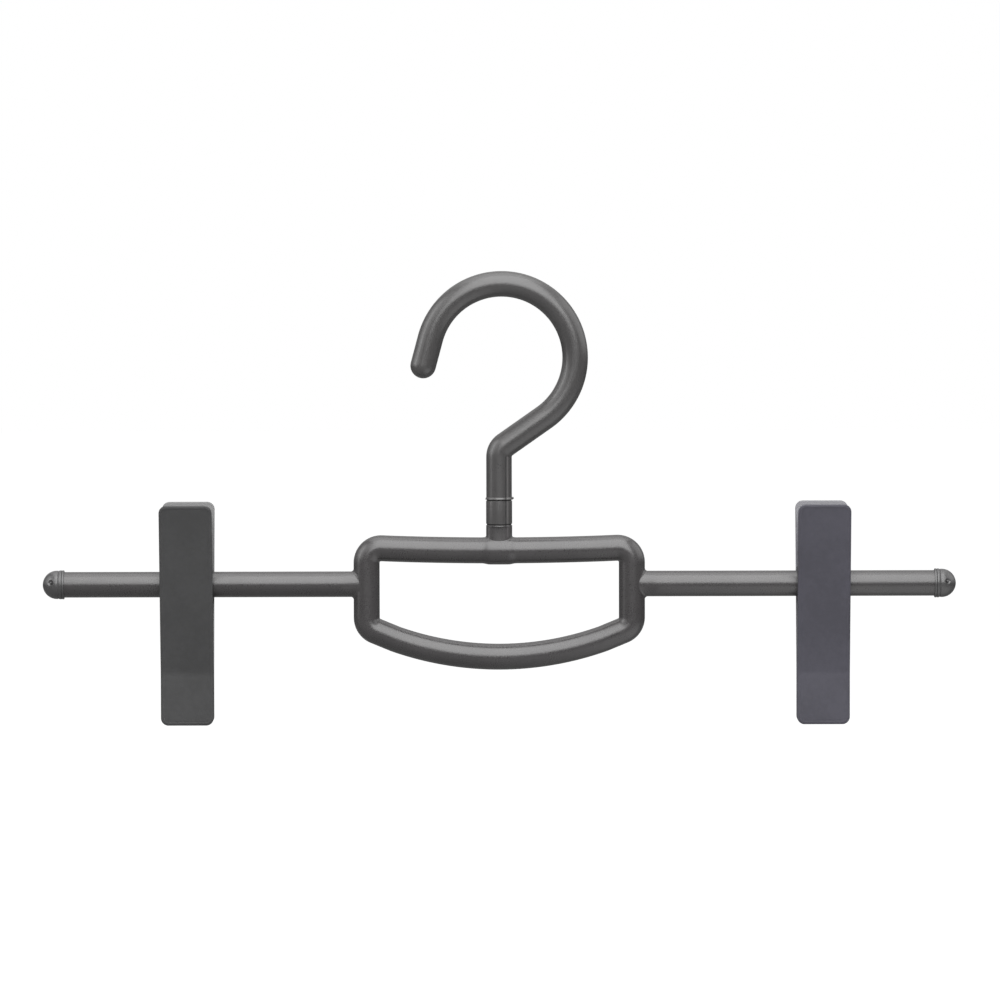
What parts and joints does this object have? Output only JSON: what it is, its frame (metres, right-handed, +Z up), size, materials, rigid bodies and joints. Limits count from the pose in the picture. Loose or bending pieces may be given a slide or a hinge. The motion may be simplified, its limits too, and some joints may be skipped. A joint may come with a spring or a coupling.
{
  "type": "clip hanger",
  "caption": "Plastic hanger with a swivel hook, a loop handle and two sprung clips that slide along round arms, for trousers and skirts.",
  "frame": {"origin": "where the rail bears on the inside of the hook, in the middle plane and on the hook's swivel axis", "axes": "+Z up, along the hook's swivel axis; +X to the right as seen from the front, along the arms; the front faces -Y"},
  "size_m": [0.4, 0.032, 0.1987],
  "materials": {
    "hook_plastic": "satin charcoal plastic",
    "frame_plastic": "satin charcoal plastic",
    "cap_plastic": "satin charcoal plastic",
    "sleeve_plastic": "smooth dark plastic",
    "jaw_plastic": "fine matt charcoal plastic",
    "spring_steel": "drawn spring wire",
    "pad_rubber": "ribbed matt rubber"
  },
  "bodies": {
    "hook": {"hook": "hook_plastic"},
    "frame": {"frame": "frame_plastic", "neck_collar": "hook_plastic", "left_end_cap": "cap_plastic", "right_end_cap": "cap_plastic"},
    "left_sleeve": {"left_pivot_sleeve": "sleeve_plastic"},
    "left_rear_half": {"left_rear_jaw": "jaw_plastic", "left_rear_pad": "pad_rubber", "left_torsion_spring": "spring_steel"},
    "left_front_half": {"left_front_jaw": "jaw_plastic", "left_front_pad": "pad_rubber"},
    "right_sleeve": {"right_pivot_sleeve": "sleeve_plastic"},
    "right_rear_half": {"right_rear_jaw": "jaw_plastic", "right_rear_pad": "pad_rubber", "right_torsion_spring": "spring_steel"},
    "right_front_half": {"right_front_jaw": "jaw_plastic", "right_front_pad": "pad_rubber"}
  },
  "joints": [
    {"name": "hook_swivel", "type": "hinge", "parent": "hook", "child": "frame", "pos_m": [0, 0, -0.0892], "axis": [0, 0, 1], "continuous": true},
    {"name": "left_clip_slide", "type": "slide", "parent": "frame", "child": "left_sleeve", "axis": [1, 0, 0], "range_m": [-0.0415, 0.061]},
    {"name": "left_clip_swing", "type": "hinge", "parent": "left_sleeve", "child": "left_rear_half", "pos_m": [-0.1368, 0, -0.1258], "axis": [1, 0, 0], "continuous": true},
    {"name": "left_clip_open", "type": "hinge", "parent": "left_rear_half", "child": "left_front_half", "pos_m": [-0.1368, 0, -0.1258], "axis": [-1, 0, 0], "range_deg": [0, 25], "stiffness_Nm_per_rad": 0.4, "springref_deg": -57.3, "deforming": ["left_torsion_spring"]},
    {"name": "right_clip_slide", "type": "slide", "parent": "frame", "child": "right_sleeve", "axis": [1, 0, 0], "range_m": [-0.0661, 0.0364]},
    {"name": "right_clip_swing", "type": "hinge", "parent": "right_sleeve", "child": "right_rear_half", "pos_m": [0.1419, 0, -0.1258], "axis": [1, 0, 0], "continuous": true},
    {"name": "right_clip_open", "type": "hinge", "parent": "right_rear_half", "child": "right_front_half", "pos_m": [0.1419, 0, -0.1258], "axis": [-1, 0, 0], "range_deg": [0, 25], "stiffness_Nm_per_rad": 0.4, "springref_deg": -57.3, "deforming": ["right_torsion_spring"]}
  ]
}
